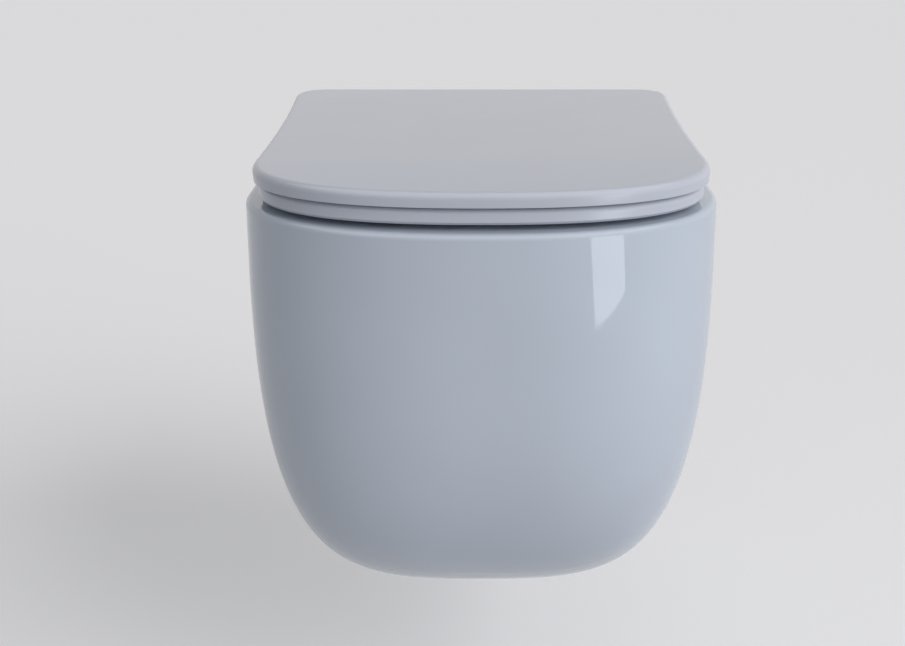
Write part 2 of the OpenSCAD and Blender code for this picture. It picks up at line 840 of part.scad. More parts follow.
module ring_body() {
    outer = ring3(ring_outer(), 0);
    inner = ring3(ring_inner(), 0);
    up = [0, 0, 1];
    hoop([for (i = [0:len(outer) - 1]) let (e = (inner[i] - outer[i]) / norm(inner[i] - outer[i]))
        concat(
            [outer[i] + e * under_in + up * ring_under, outer[i] + up * (ring_under + under_in)],
            [for (a = [0:30:90])
                outer[i] + e * ring_outer_r * (1 - cos(a)) + up * (ring_top - ring_outer_r * (1 - sin(a)))],
            [for (a = [90:-30:0])
                inner[i] - e * ring_inner_r * (1 - cos(a)) + up * (ring_top - ring_inner_r * (1 - sin(a)))],
            [inner[i] + up * (ring_under + under_in), inner[i] - e * under_in + up * ring_under])]);
}

module seat_ring() {
    color(duroplast) difference() {
        union() {
            ring_body();
            pair() {
                barrel(seat_lug_r, seat_lug_x, lug_w);
                box(seat_lug_x, seat_lug_x + lug_w, arm_rear, ring_rear + arm_bite,
                    ring_under, ring_top - arm_low);
            }
        }
        pair() barrel(cartridge_r, seat_lug_x + lug_end, lug_w);
        at_seat_buffers() cylinder(r = pad_plug_r, h = pad_plug_l);
    }
}

module seat_damper() {
    color(damper_grey) sleeve(seat_lug_x + lug_end, lug_w - lug_end);
}

module seat_bush() {
    color(nylon) mirror([1, 0, 0]) sleeve(seat_lug_x + lug_end, lug_w - lug_end);
}

// The four places under the ring where a buffer plugs in
module at_seat_buffers() {
    pair() for (s = [lid_widest_s - seat_pad_behind, lid_widest_s + pad_ahead])
        translate([skin_half - seat_pad_in, -s, ring_under]) children();
}

// Soft pads that land on the rim, each with a plug up into the ring
module seat_buffers() {
    color(rubber) at_seat_buffers() {
        translate([0, 0, -rim_gap]) cylinder(r = pad_r, h = rim_gap);
        cylinder(r = pad_plug_r, h = pad_plug_l);
    }
}

ceramic_outer_body();
ceramic_inner_bowl();
ceramic_trapway();
ceramic_flush_box();
ceramic_rear_web();
fixing_block_left();
fixing_block_right();
stud_washers();
stud_nuts();
clamp_screws();
side_cap_left();
side_cap_right();
hinge_gaskets();
hinge_plates();
hinge_studs();
fixing_plugs();
plug_nuts();
hinge_bracket_left();
hinge_bracket_right();
hinge_pin_left();
hinge_pin_right();
release_button_left();
release_button_right();
button_spring_left();
button_spring_right();
seat_ring();
seat_buffers();
seat_damper();
seat_bush();
lid();
lid_buffers();
lid_damper();
lid_bush();
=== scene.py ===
# %% [markdown]
# # A wall-hung toilet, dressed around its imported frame
# The frame holds every piece of the toilet as plain solids that fit and move. This lesson gives each piece
# its finish, and swaps the three big shapes that the eye follows (ceramic, seat ring and lid) for denser
# ones.

# %% Load the frame
import json
import math

import bmesh
import bpy
import numpy as np
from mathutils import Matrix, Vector


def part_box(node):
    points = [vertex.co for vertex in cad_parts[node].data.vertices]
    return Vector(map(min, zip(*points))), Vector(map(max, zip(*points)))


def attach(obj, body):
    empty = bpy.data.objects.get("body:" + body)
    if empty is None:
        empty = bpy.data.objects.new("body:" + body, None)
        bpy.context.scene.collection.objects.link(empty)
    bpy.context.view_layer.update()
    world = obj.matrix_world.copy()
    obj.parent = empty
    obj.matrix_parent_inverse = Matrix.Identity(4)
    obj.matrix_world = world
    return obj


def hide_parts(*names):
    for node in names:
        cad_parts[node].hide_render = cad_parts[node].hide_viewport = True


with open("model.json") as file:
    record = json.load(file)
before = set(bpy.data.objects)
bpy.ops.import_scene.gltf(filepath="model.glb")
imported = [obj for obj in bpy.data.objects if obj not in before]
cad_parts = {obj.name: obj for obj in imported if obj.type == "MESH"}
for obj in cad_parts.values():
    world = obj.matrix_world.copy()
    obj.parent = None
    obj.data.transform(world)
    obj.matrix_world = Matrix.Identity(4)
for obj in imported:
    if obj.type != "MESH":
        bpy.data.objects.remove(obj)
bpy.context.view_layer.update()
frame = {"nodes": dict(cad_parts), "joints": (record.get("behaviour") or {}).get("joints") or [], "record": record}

# %% [markdown]
# ## The sizes that drive the shapes
# The bowl is a curve swept down from the rim, so a handful of numbers fix all of it. Those that the frame
# already knows are read from it: the bowl's width, depth and height, and the heights of the ring and the
# lid.

# %% The outer body, in metres
MM = 0.001
bowl_lo, bowl_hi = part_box("ceramic_outer_body")[0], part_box("ceramic_inner_bowl")[1]
WALL_FLARE = 6 * MM
SKIN_HALF = bowl_hi.x - WALL_FLARE
PROJECTION = -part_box("ceramic_inner_bowl")[0].y
RIM_Z = bowl_hi.z
RIM_R = 5 * MM
TUCK = math.radians(86)
SIDE_POWER, FRONT_POWER = 2.84, 3.94
BOWL_H = RIM_R + (RIM_Z - RIM_R - bowl_lo.z) / math.sin(TUCK) ** (2 / FRONT_POWER)
WALL_T, DECK_T = 10 * MM, 12 * MM
WIDEST_RATIO = 0.74
PLAN_POWER_RIM, PLAN_POWER_BASE = 2.3, 3.2
print("bowl width, depth, height in mm", *[round(v / MM) for v in (2 * bowl_hi.x, PROJECTION, BOWL_H)])

# %% The inner bowl
OPENING_HALF, OPENING_MID = 134 * MM, 300 * MM
OPENING_REAR, OPENING_FRONT = 128 * MM, PROJECTION - 48 * MM
INNER_EDGE_R, BOWL_WALL = 8 * MM, 11 * MM
INNER_REAR_POWER, INNER_FRONT_POWER = 2.9, 2.25
SUMP_FLOOR_Z, SUMP_HALF, SUMP_R = RIM_Z - 316 * MM, 38 * MM, 14 * MM
SUMP_REAR, SUMP_MID, SUMP_FRONT = 205 * MM, 250 * MM, 292 * MM
SUMP_SHARE = 0.97
print("the sump's floor lies", round((RIM_Z - SUMP_FLOOR_Z) / MM), "mm under the rim")

# %% What lies behind the bowl
TRAP_R, TRAP_WALL, TRAP_BEND = 36 * MM, 9 * MM, 60 * MM
TRAP_ENTRY, TRAP_INTO_SUMP, TRAP_SILL = 175 * MM, 60 * MM, 1 * MM
TRAP_ENTRY_Z = SUMP_FLOOR_Z + TRAP_SILL + TRAP_R
SPIGOT_R, SPIGOT_BORE, SPIGOT_L, WASTE_Z = 51 * MM, 44 * MM, 42 * MM, -100 * MM
COLLAR_STEP, COLLAR_L = 2 * MM, 15 * MM
TRAP_BORE_END, SPIGOT_BORE_L = SPIGOT_L + 7 * MM, SPIGOT_L + 9 * MM
INLET_R, INLET_WALL, INLET_L, INLET_Z = 27.5 * MM, 8.5 * MM, 100 * MM, 35 * MM
CHAMBER_HALF, CHAMBER_REAR, CHAMBER_FRONT = 54 * MM, 94 * MM, 115 * MM
CHAMBER_Z0, CHAMBER_Z1 = INLET_Z - 21 * MM, INLET_Z + 25 * MM
CHAMBER_WALL, CHAMBER_REAR_WALL = 8 * MM, 6 * MM
SLOT_REAR, SLOT_Z0, SLOT_Z1 = 114 * MM, INLET_Z - 12 * MM, INLET_Z + 2 * MM
MID_SLOT_HALF, SIDE_SLOT_X0, SIDE_SLOT_X1 = 20 * MM, 34 * MM, 52 * MM
MID_SLOT_FRONT, SIDE_SLOT_FRONT = OPENING_REAR + 14 * MM, OPENING_REAR + 22 * MM
INLET_END = OPENING_REAR - 4 * MM
weir_z = TRAP_ENTRY_Z + 2 * TRAP_BEND - TRAP_R
print("the trap's weir lies", round((RIM_Z - weir_z) / MM), "mm under the rim")

# %% The wall fixing's channels and the webs round them
STUD_X, CHANNEL_W, CHANNEL_Z0, CHANNEL_Z1 = 90 * MM, 39 * MM, -18 * MM, 17 * MM
BOSS_WALL, BOSS_L, CHANNEL_L = 9 * MM, 70 * MM, 82 * MM
CLAMP_S, CLAMP_X, SCREW_R = 24 * MM, STUD_X + CHANNEL_W / 2 + BOSS_WALL, 4.5 * MM
TUNNEL_R, TUNNEL_WALL, SIDE_HOLE_PAST = 13 * MM, 7 * MM, 20 * MM
WEB_S0, WEB_S1, WEB_UNDER, WEB_IN_SKIN = BOSS_L - 4 * MM, BOSS_L + 6 * MM, 14 * MM, 3 * MM
RIB_HALF = 5 * MM
print("wall studs", round(2 * STUD_X / MM), "mm apart")

# %% The hinge line and the lid's outline
axis = next(j for j in frame["joints"] if j["name"] == "seat_hinge")["pos_m"]
AXIS_S, AXIS_Z = -axis[1], axis[2]
lid_lo, lid_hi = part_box("lid")
LID_TOP, LID_T, LID_PLATE, LID_FALL = lid_hi.z, 14.6 * MM, 6 * MM, 3.6 * MM
LID_UNDER = LID_TOP - LID_T
LID_REAR, LID_FRONT = -lid_hi.y, -lid_lo.y
LID_HALF, LID_FLARE = SKIN_HALF - 9.8 * MM, 8.4 * MM
LID_WAIST, LID_WIDEST, LID_POWER = LID_REAR + 251 * MM, LID_FRONT - 118 * MM, 2.37
LID_EDGE_R, LID_CORNER = 5.5 * MM, 30 * MM
REAR_ROUND_S, REAR_FLAT = 1.3 * LID_CORNER, 0.4 * MM
LID_BORDER, WELL_SLOPE, WELL_CLEAR = 11 * MM, 3 * MM, 2 * MM
LID_LOWER_EDGE = ((2 * MM, 0), (0.5 * MM, 0.2 * MM))
over_rim = round((AXIS_Z - RIM_Z) / MM, 1)
print("hinge axis", round(AXIS_S / MM, 1), "mm from the wall,", over_rim, "mm over the rim")

# %% The seat ring and the hinges' lugs
RING_UNDER, RING_T, RING_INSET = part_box("seat_buffers")[0].z + 4.7 * MM, 11 * MM, 4 * MM
RING_TOP, RING_REAR, RING_CORNER = RING_UNDER + RING_T, AXIS_S + 22 * MM, 18 * MM
RING_OUTER_R, RING_INNER_R, RING_LOWER_EDGE = 4.5 * MM, 5.5 * MM, 2 * MM
SEAT_OPEN_HALF, SEAT_OPEN_REAR, SEAT_OPEN_WIDEST = 112 * MM, AXIS_S + 84 * MM, 0.52
SEAT_REAR_POWER, SEAT_FRONT_POWER, RING_FRONT_W = 2.5, 2.25, 60 * MM
PAD_X, PAD_BEHIND, PAD_AHEAD = SKIN_HALF - 25 * MM, 170 * MM, 30 * MM
PAD_STEM_R, PAD_STEM_L = 3 * MM, 5 * MM
HINGE_X, BRACKET_W, LUG_W, LUG_GAP = 77.5 * MM, 26 * MM, 26 * MM, 0.5 * MM
SEAT_LUG_X = HINGE_X - BRACKET_W / 2 - LUG_GAP - LUG_W
LID_LUG_X = HINGE_X + BRACKET_W / 2 + LUG_GAP
SEAT_LUG_R, LID_LUG_R, CARTRIDGE_R, SEAT_BORE_END = 11 * MM, 13 * MM, 7 * MM, 3 * MM
ARM_S0, ARM_S1 = AXIS_S + 7 * MM, RING_REAR + 12 * MM
STUD_S, SEAT_HOLE_R, SEAT_HOLE_BELOW, SEAT_HOLE_L = AXIS_S + 9.5 * MM, 7 * MM, 40 * MM, 60 * MM
ring_over_rim = [round((z - RIM_Z) / MM, 1) for z in (RING_UNDER, RING_TOP)]
print("the ring lies from", ring_over_rim[0], "to", ring_over_rim[1], "mm over the rim")

# %% [markdown]
# ## Outlines
# Every big piece here is the same left and right, so each level is drawn as half an outline: x across, s
# away from the wall. A superellipse gives the fronts: one exponent takes it from an oval to a squarish
# curve with no seams. Outlines in one stack or ring need the same number of points, so the counts are kept
# in one place.

# %% Helpers for half outlines
EDGE_N, FLANK_N, CORNER_N, SIDE_N, FRONT_N = 8, 28, 14, 30, 64


def quarter(steps):
    """Angles from 0 to a quarter turn."""
    return np.radians(np.linspace(0, 90, steps + 1))


def rounds(radius, angles):
    """A rounded edge: for each angle, how far it has moved in from the side and down from the top."""
    return [(radius * (1 - math.cos(a)), radius * (1 - math.sin(a))) for a in angles]


def nose(half, s0, length, power):
    """The rounded front of a half outline, from its widest point to the middle."""
    q = quarter(FRONT_N)[1:]
    x = half * np.cos(q).clip(0) ** (2 / power)
    return np.column_stack([x, s0 + length * np.sin(q) ** (2 / power)])


def heel(half, s0, length, power, steps):
    """The rounded rear of a half outline, from the middle to its widest point."""
    q = quarter(steps)[::-1]
    x = half * np.cos(q).clip(0) ** (2 / power)
    return np.column_stack([x, s0 - length * np.sin(q) ** (2 / power)])


def outward(p):
    """Unit normals of a half outline, pointing away from the object."""
    run = np.vstack([p[1] - p[0], p[2:] - p[:-2], p[-1] - p[-2]])
    n = np.column_stack([run[:, 1], -run[:, 0]])
    n[0], n[-1] = (0, -1), (0, 1)
    return n / np.linalg.norm(n, axis=1)[:, None]


def inset(p, d):
    """A half outline moved in by d, a length or one for each point."""
    q = p - np.reshape(np.broadcast_to(d, len(p)), (-1, 1)) * outward(p)
    q[:, 0] = q[:, 0].clip(0)
    return q


def closed(p, z):
    """A loop of 3-D points from a half outline: right side forwards, then left side back."""
    z = np.broadcast_to(z, len(p))
    right = np.column_stack([p[:, 0], -p[:, 1], z])
    return np.vstack([right, (right * (-1, 1, 1))[-2:0:-1]])


print("points in a rounded front", len(nose(SKIN_HALF, 0, PROJECTION, PLAN_POWER_RIM)))

# %% [markdown]
# ## From outlines to meshes
# A stack of loops is skinned with quads, which shade evenly, and each end is closed with strips that run
# across from side to side. The holes and hollows are then cut with boolean modifiers, as a mould maker
# would add cores.

# %% Helpers for meshes
WELD = 1e-7
LEVEL = 1e-6


def mesh_object(name, points, faces):
    """A mesh object with its faces turned outwards, and points closer than WELD made one."""
    data = bpy.data.meshes.new(name)
    data.from_pydata([tuple(v) for v in points], [], faces)
    b = bmesh.new()
    b.from_mesh(data)
    bmesh.ops.remove_doubles(b, verts=b.verts, dist=WELD)
    bmesh.ops.recalc_face_normals(b, faces=b.faces)
    b.to_mesh(data)
    b.free()
    piece = bpy.data.objects.new(name, data)
    bpy.context.scene.collection.objects.link(piece)
    return piece


def strips(loop, start):
    """Faces across a loop that is mirrored left to right. Points within LEVEL are on one rear edge."""
    m = len(loop)
    k = m // 2
    flat_rear = next(i for i in range(k) if abs(loop[i][1] - loop[0][1]) > LEVEL)
    rear = [start + (m - i) % m for i in range(flat_rear - 1, 0, -1)]
    rear += [start + i for i in range(flat_rear)]
    faces = [tuple(rear) + (start + flat_rear, start + m - flat_rear)]
    for i in range(flat_rear, k):
        quad = [start + i, start + i + 1, start + m - i - 1, start + m - i]
        faces.append(tuple(dict.fromkeys(quad)))
    return faces


def bands(rows, m, wrap=False):
    """Quads between rows of m points, each row a closed loop. wrap joins the last row to the first."""
    faces = []
    for j in range(rows if wrap else rows - 1):
        a, b = j * m, (j + 1) % rows * m
        faces += [(a + i, a + (i + 1) % m, b + (i + 1) % m, b + i) for i in range(m)]
    return faces


def stack(name, loops):
    """A closed solid from a stack of loops with the same number of points."""
    rows, m = len(loops), len(loops[0])
    faces = bands(rows, m) + strips(loops[0], 0) + strips(loops[-1], (rows - 1) * m)
    return mesh_object(name, np.vstack(loops), faces)


print("3 rows of 4 points make", len(bands(3, 4)), "faces, and", len(bands(3, 4, wrap=True)), "as a hoop")

# %% Helpers for cores
# Joined pieces run into each other by this much, and cores run past the face that they open
PAST = 1 * MM
ROUND_N, TUBE_N = 96, 64
SHARP = math.radians(32)


def rod(name, start, direction, radius, length, sides=ROUND_N):
    """A round bar from a point along X, Y or Z."""
    along = Vector(direction)
    u = along.orthogonal().normalized()
    v = along.cross(u)
    angles = np.radians(np.arange(sides) * 360 / sides)
    ring = [Vector(start) + radius * (math.cos(a) * u + math.sin(a) * v) for a in angles]
    faces = bands(2, sides) + [tuple(range(sides)), tuple(range(sides, 2 * sides))]
    return mesh_object(name, ring + [p + length * along for p in ring], faces)


def block(name, x0, x1, s0, s1, z0, z1):
    """A box given by its sides, with s away from the wall."""
    points = [(x, -s, z) for x in sorted((x0, x1)) for s in (s0, s1) for z in (z0, z1)]
    faces = [(0, 1, 3, 2), (4, 5, 7, 6), (0, 1, 5, 4), (2, 3, 7, 6), (0, 2, 6, 4), (1, 3, 7, 5)]
    return mesh_object(name, points, faces)


def combine(piece, operation, tools):
    """Joins each tool to the piece or cuts it away, and deletes the tool."""
    for tool in tools:
        m = piece.modifiers.new("BOOLEAN", "BOOLEAN")
        m.operation, m.solver, m.object = operation, "MANIFOLD", tool
        bpy.context.view_layer.objects.active = piece
        bpy.ops.object.modifier_apply(modifier=m.name)
        bpy.data.objects.remove(tool)


def soften(piece):
    """Smooth shading that keeps the edges sharper than SHARP."""
    piece.data.shade_smooth()
    piece.data.set_sharp_from_angle(angle=SHARP)


print("a round bar has", ROUND_N, "sides, and a pipe", TUBE_N)

# %% [markdown]
# ## The ceramic
# The real bowl is slip-cast in plaster moulds: an outer body and an inner bowl are cast separately and
# stuck together wet, so it is a hollow, thin-walled shell that is open to the wall. It is built the same
# way here. The outer body's levels shrink by one superellipse towards the underside, the inner bowl's by
# another towards the sump.

# %% The levels of the outer body
def shrunk(t, power):
    """The share of its width that a superellipse keeps at a share t of its depth."""
    return max(0, 1 - t ** power) ** (1 / power)


def skin_level(t, d, rear):
    """The outer body at a share t of its depth, moved in by d, its straight edge at the distance rear."""
    girth = shrunk(t, SIDE_POWER)
    half, far = SKIN_HALF * girth, PROJECTION * shrunk(t, FRONT_POWER)
    s0 = WIDEST_RATIO * far
    power = PLAN_POWER_RIM + (PLAN_POWER_BASE - PLAN_POWER_RIM) * t
    i = np.linspace(0, 1, FLANK_N + 1)
    side = np.column_stack([half + WALL_FLARE * girth * (1 - i) ** 2, s0 * i])
    full = np.vstack([side, nose(half, s0, far - s0, power)])
    moved = inset(full, d)
    moved[0] = (full[0, 0] - d, rear)
    rear_edge = np.column_stack([moved[0, 0] * np.arange(EDGE_N) / EDGE_N, np.full(EDGE_N, rear)])
    return np.vstack([rear_edge, moved])


print("outer body at half its depth:", round(2 * skin_level(0.5, 0, 0)[:, 0].max() / MM), "mm wide")

# %% The levels of the inner bowl
# Two exponents shape how a wall falls: the first holds it upright under the rim, the second sets its foot
SIDE_FALL, FRONT_FALL = (1.4, 0.95), (1.25, 1.05)


def kept(u, upright, foot):
    """The share of the way from sump to opening that a wall keeps at a share u of its depth."""
    return max(0, 1 - u ** upright) ** foot


def inner_level(u, d):
    """The inner bowl at a share u of its depth, moved out by d."""
    side, ahead = kept(u, *SIDE_FALL), kept(u, *FRONT_FALL)
    half = SUMP_HALF + (OPENING_HALF - SUMP_HALF) * side + d
    rear = SUMP_REAR - (SUMP_REAR - OPENING_REAR) * side - d
    far = SUMP_FRONT + (OPENING_FRONT - SUMP_FRONT) * ahead + d
    mid = OPENING_MID + (SUMP_MID - OPENING_MID) * u
    back = heel(half, mid, mid - rear, INNER_REAR_POWER, EDGE_N + FLANK_N)
    return np.vstack([back, nose(half, mid, far - mid, INNER_FRONT_POWER)])


print("inner bowl at half its depth:", round(2 * inner_level(0.5, 0)[:, 0].max() / MM), "mm wide")

# %% The shell: outer body and rim
SKIN_ROWS, INNER_ROWS, HOLLOW_ROWS = 56, 44, 28
skin_depth = BOWL_H - RIM_R
shares = [math.sin(TUCK * i / SKIN_ROWS) ** (2 / FRONT_POWER) for i in range(SKIN_ROWS + 1)]
arc = quarter(10)
loops = [closed(skin_level(t, 0, 0), RIM_Z - RIM_R - skin_depth * t) for t in reversed(shares)]
loops += [closed(skin_level(0, moved, 0), RIM_Z - down) for moved, down in rounds(RIM_R, arc[1:])]
print("points round one level", len(loops[0]))

# %% The inner bowl joins the rim
inner_depth = RIM_Z - INNER_EDGE_R - SUMP_FLOOR_Z
sump_round = inner_depth * (1 - SUMP_SHARE)
loops += [closed(inner_level(0, down), RIM_Z - moved) for moved, down in rounds(INNER_EDGE_R, arc[:-1])]
loops += [closed(inner_level(u, 0), RIM_Z - INNER_EDGE_R - inner_depth * u)
    for u in np.linspace(0, SUMP_SHARE, INNER_ROWS + 1)]
loops += [closed(inner_level(SUMP_SHARE, -SUMP_R * moved), SUMP_FLOOR_Z + sump_round * down)
    for moved, down in rounds(1, arc[1::2])]
china = stack("glazed_bowl", loops)
print("shell faces", len(china.data.polygons))

# %% The hollow between the two casts
PAST_THE_WALL = 5 * MM
hollow_top = RIM_Z - DECK_T
skin_hollow = BOWL_H - WALL_T - DECK_T


def inner_levels(wall):
    """The inner bowl's levels under the deck, moved out by a wall."""
    fall = hollow_top - SUMP_FLOOR_Z + wall
    return [closed(inner_level(u, wall), hollow_top - fall * u) for u in np.linspace(0, 1, HOLLOW_ROWS + 1)]


levels = [closed(skin_level(t, WALL_T, -PAST_THE_WALL), hollow_top - skin_hollow * t)
    for t in reversed(shares[::2])]
combine(china, "DIFFERENCE", [stack("hollow_core", levels + inner_levels(BOWL_WALL))])
print("faces after the hollow", len(china.data.polygons))

# %% [markdown]
# ## Behind the bowl
# From the wall's side the casting shows its working parts: the trapway that holds the water seal, the waste
# spigot, the flush inlet, and the two square channels for the fixing blocks. The pipe is one tube swept
# along its bends. Its outer wall is cut off a little inside the bowl's wall, so that no lip stands in the
# sump.

# %% The trapway as a swept tube
def trap_tube(name, radius, end_s):
    """The trapway's pipe: from the sump, up over the weir, and on to the distance end_s."""
    turn = quarter(18)
    low, weir_s = TRAP_ENTRY_Z, TRAP_ENTRY - 2 * TRAP_BEND
    path = [(TRAP_ENTRY + TRAP_INTO_SUMP, low)]
    path += [(TRAP_ENTRY - TRAP_BEND * math.sin(a), low + TRAP_BEND * (1 - math.cos(a))) for a in turn]
    path += [(weir_s + TRAP_BEND * math.cos(a), low + TRAP_BEND * (1 + math.sin(a))) for a in turn[1:]]
    path = np.array(path + [(end_s, low + 2 * TRAP_BEND)])
    step = np.gradient(path, axis=0)
    # The gradient would tilt the two points at each end, which lie on straight runs
    step[:2], step[-2:] = path[1] - path[0], path[-1] - path[-2]
    step /= np.linalg.norm(step, axis=1)[:, None]
    points, angles = [], np.radians(np.arange(TUBE_N) * 360 / TUBE_N)
    for (s, z), (ds, dz) in zip(path, step):
        points += [(radius * math.cos(a), -(s - radius * math.sin(a) * dz), z + radius * math.sin(a) * ds)
            for a in angles]
    last = (len(path) - 1) * TUBE_N
    faces = bands(len(path), TUBE_N) + [tuple(range(TUBE_N)), tuple(range(last, last + TUBE_N))]
    return mesh_object(name, points, faces)


print("the trap's bore is", round(2 * TRAP_R / MM), "mm")

# %% Walls and bosses that are added
deck = RIM_Z - DECK_T + PAST
web_half = SKIN_HALF - WEB_IN_SKIN
added = [block("web", -web_half, web_half, WEB_S0, WEB_S1, CHANNEL_Z0 - WEB_UNDER, deck)]
for side in (-1, 1):
    x0, x1 = side * (STUD_X - CHANNEL_W / 2 - BOSS_WALL), side * CLAMP_X
    added.append(block("boss", x0, x1, 0, BOSS_L, CHANNEL_Z0 - BOSS_WALL, CHANNEL_Z1 + BOSS_WALL))
    x0, x1 = side * (STUD_X - RIB_HALF), side * (STUD_X + RIB_HALF)
    added.append(block("rib", x0, x1, 0, BOSS_L, CHANNEL_Z1, deck))
    start = (side * (CLAMP_X - 2 * PAST), -CLAMP_S, 0)
    added.append(rod("tunnel", start, (side, 0, 0), TUNNEL_R + TUNNEL_WALL, SKIN_HALF - CLAMP_X))
print("walls and bosses", len(added))

# %% Pipes that are added
FROM_WALL = (0, -1, 0)
BURIED = 4 * MM
added.append(rod("inlet", (0, 0, INLET_Z), FROM_WALL, INLET_R + INLET_WALL, INLET_END))
half, s0, z0 = CHAMBER_HALF + CHAMBER_WALL, CHAMBER_REAR - CHAMBER_REAR_WALL, CHAMBER_Z0 - CHAMBER_WALL
added.append(block("chamber", -half, half, s0, INLET_END, z0, deck))
pipe = trap_tube("trap", TRAP_R + TRAP_WALL, SPIGOT_L + 2 * PAST)
combine(pipe, "DIFFERENCE", [stack("bowl_inside", inner_levels(BOWL_WALL - BURIED))])
added.append(pipe)
added.append(rod("spigot", (0, 0, WASTE_Z), FROM_WALL, SPIGOT_R, SPIGOT_L))
added.append(rod("spigot_step", (0, PAST - SPIGOT_L, WASTE_Z), FROM_WALL, SPIGOT_R - COLLAR_STEP, COLLAR_L))
combine(china, "UNION", added)
print("faces with its pipes", len(china.data.polygons))

# %% Channels, holes and side slots that are cut
cores = []
for side in (-1, 1):
    sideways = (side, 0, 0)
    x0, x1 = side * (STUD_X - CHANNEL_W / 2), side * (STUD_X + CHANNEL_W / 2)
    cores.append(block("channel", x0, x1, -PAST, CHANNEL_L, CHANNEL_Z0, CHANNEL_Z1))
    start = (side * STUD_X, -CLAMP_S, 0)
    cores.append(rod("screw_way", start, sideways, SCREW_R, CLAMP_X - STUD_X + PAST, ROUND_N // 2))
    start = (side * CLAMP_X, -CLAMP_S, 0)
    cores.append(rod("side_hole", start, sideways, TUNNEL_R, SKIN_HALF - CLAMP_X + SIDE_HOLE_PAST))
    start = (side * HINGE_X, -STUD_S, RIM_Z - SEAT_HOLE_BELOW)
    cores.append(rod("seat_hole", start, (0, 0, 1), SEAT_HOLE_R, SEAT_HOLE_L, TUBE_N))
    x0, x1 = side * SIDE_SLOT_X0, side * SIDE_SLOT_X1
    cores.append(block("flush_side", x0, x1, SLOT_REAR, SIDE_SLOT_FRONT, SLOT_Z0, SLOT_Z1))
print("cores on both sides", len(cores))

# %% The waterways that are cut
cores.append(rod("inlet_bore", (0, PAST, INLET_Z), FROM_WALL, INLET_R, INLET_L + PAST))
half = CHAMBER_HALF
cores.append(block("flush_chamber", -half, half, CHAMBER_REAR, CHAMBER_FRONT, CHAMBER_Z0, CHAMBER_Z1))
half = MID_SLOT_HALF
cores.append(block("flush_mid", -half, half, SLOT_REAR, MID_SLOT_FRONT, SLOT_Z0, SLOT_Z1))
cores.append(trap_tube("trap_bore", TRAP_R, TRAP_BORE_END))
cores.append(rod("spigot_bore", (0, PAST, WASTE_Z), FROM_WALL, SPIGOT_BORE, SPIGOT_BORE_L))
combine(china, "DIFFERENCE", cores)
soften(china)
CASTINGS = ["outer_body", "inner_bowl", "trapway", "flush_box", "rear_web"]
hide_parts(*["ceramic_" + name for name in CASTINGS])
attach(china, "bowl")
print("ceramic faces", len(china.data.polygons))

# %% [markdown]
# ## The lid
# A real soft-close lid is pressed from thermoset powder: one plate with a thicker edge, a soft radius all
# round on top and a shallow recess below. Its sides draw in a little towards the middle, and its rear edge
# is a full round that clears the bowl as it turns. The same stack of loops makes it, and the hinge's room
# is cut out.

# %% The family outline of lid and ring
def side_half(s):
    """Half the lid's width at the distance s."""
    return LID_HALF + LID_FLARE * ((LID_WAIST - s) / (LID_WAIST - LID_REAR)) ** 2


def cover_outline(rear, corner):
    """Half outline: rear edge, round corner, waisted side, round front."""
    edge = np.column_stack([(side_half(rear) - corner) * np.arange(EDGE_N) / EDGE_N, np.full(EDGE_N, rear)])
    q = quarter(CORNER_N)
    s = rear + corner * (1 - np.cos(q))
    turn = np.column_stack([side_half(s) - corner * (1 - np.sin(q)), s])
    s = np.linspace(rear + corner, LID_WIDEST, SIDE_N + 1)[1:]
    side = np.column_stack([side_half(s), s])
    q = quarter(FRONT_N)[1:]
    s = LID_WIDEST + (LID_FRONT - LID_WIDEST) * np.sin(q) ** (2 / LID_POWER)
    front = np.column_stack([side_half(s) * np.cos(q).clip(0) ** (2 / LID_POWER), s])
    return np.vstack([edge, turn, side, front])


outline = cover_outline(LID_REAR, LID_CORNER)
print("lid outline points", len(outline))

# %% The lid's body
def lid_top_at(s):
    """The lid's top falls a little towards the front, so its front edge looks slim."""
    return LID_TOP - LID_FALL * (s - LID_REAR) / (LID_FRONT - LID_REAR)


def well_outline(slope):
    """The recess under the lid, moved in from its border by slope."""
    p = inset(outline, LID_BORDER + slope)
    p[:, 1] = p[:, 1].clip(RING_REAR + WELL_CLEAR + slope)
    return p


share = ((outline[:, 1] - LID_REAR) / REAR_ROUND_S).clip(0, 1)
edge_r = (LID_T - REAR_FLAT) * (1 - share) + LID_EDGE_R * share
well_top, top = well_outline(WELL_SLOPE), lid_top_at(outline[:, 1])
loops = [closed(well_top, lid_top_at(well_top[:, 1]) - LID_PLATE), closed(well_outline(0), LID_UNDER)]
loops += [closed(inset(outline, moved), LID_UNDER + up) for moved, up in LID_LOWER_EDGE]
loops += [closed(inset(outline, moved), top - down) for moved, down in rounds(edge_r, quarter(14))]
cover = stack("lid_cover", loops)
print("lid body faces", len(cover.data.polygons))

# %% The lid's hinge lugs
BRACKET_ROOM = 5 * MM


def barrel(name, side, radius, x0, length):
    """A round bar about the hinge axis; side is -1 for the left."""
    return rod(name, (side * x0, -AXIS_S, AXIS_Z), (side, 0, 0), radius, length)


